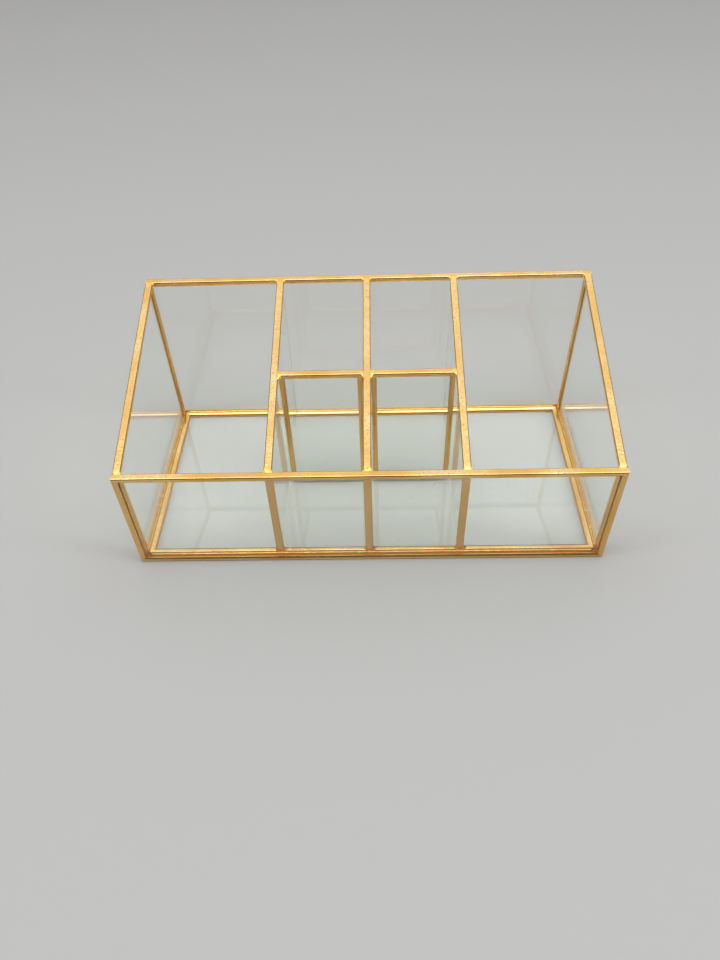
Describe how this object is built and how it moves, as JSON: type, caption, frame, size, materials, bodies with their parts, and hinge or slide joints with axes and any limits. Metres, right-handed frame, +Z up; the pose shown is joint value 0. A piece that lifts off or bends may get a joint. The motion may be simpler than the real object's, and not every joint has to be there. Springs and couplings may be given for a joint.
{
  "type": "glass organizer box",
  "caption": "Open glass organizer with metal-edged panes, a top that slopes down to the front, and dividers that part it into compartments.",
  "frame": {"origin": "middle of the underside, on the surface that the box stands on", "axes": "+X to the right as seen from the low front, +Y from the low front to the high back, +Z up"},
  "size_m": [0.24, 0.12, 0.0955],
  "materials": {
    "glass": "clear float glass, faintly green",
    "edging": "satin gold-coloured metal channel",
    "solder": "smooth gold-coloured solder"
  },
  "bodies": {
    "root": {"back_bottom_channel": "edging", "back_left_channel": "edging", "back_pane": "glass", "back_rail_solder": "solder", "back_right_channel": "edging", "back_top_channel": "edging", "base_back_channel": "edging", "base_front_channel": "edging", "base_left_channel": "edging", "base_pane": "glass", "base_right_channel": "edging", "centre_divider_front_channel": "edging", "centre_divider_pane": "glass", "centre_divider_top_channel": "edging", "cross_rail_solder": "solder", "front_bottom_channel": "edging", "front_foot_solder": "solder", "front_left_channel": "edging", "front_pane": "glass", "front_rail_solder": "solder", "front_right_channel": "edging", "front_top_channel": "edging", "left_bottom_channel": "edging", "left_cross_bottom_channel": "edging", "left_cross_left_channel": "edging", "left_cross_pane": "glass", "left_cross_right_channel": "edging", "left_cross_top_channel": "edging", "left_divider_front_channel": "edging", "left_divider_pane": "glass", "left_divider_top_channel": "edging", "left_front_channel": "edging", "left_pane": "glass", "left_rear_channel": "edging", "left_top_channel": "edging", "right_bottom_channel": "edging", "right_cross_bottom_channel": "edging", "right_cross_left_channel": "edging", "right_cross_pane": "glass", "right_cross_right_channel": "edging", "right_cross_top_channel": "edging", "right_divider_front_channel": "edging", "right_divider_pane": "glass", "right_divider_top_channel": "edging", "right_front_channel": "edging", "right_pane": "glass", "right_rear_channel": "edging", "right_top_channel": "edging"}
  },
  "joints": []
}
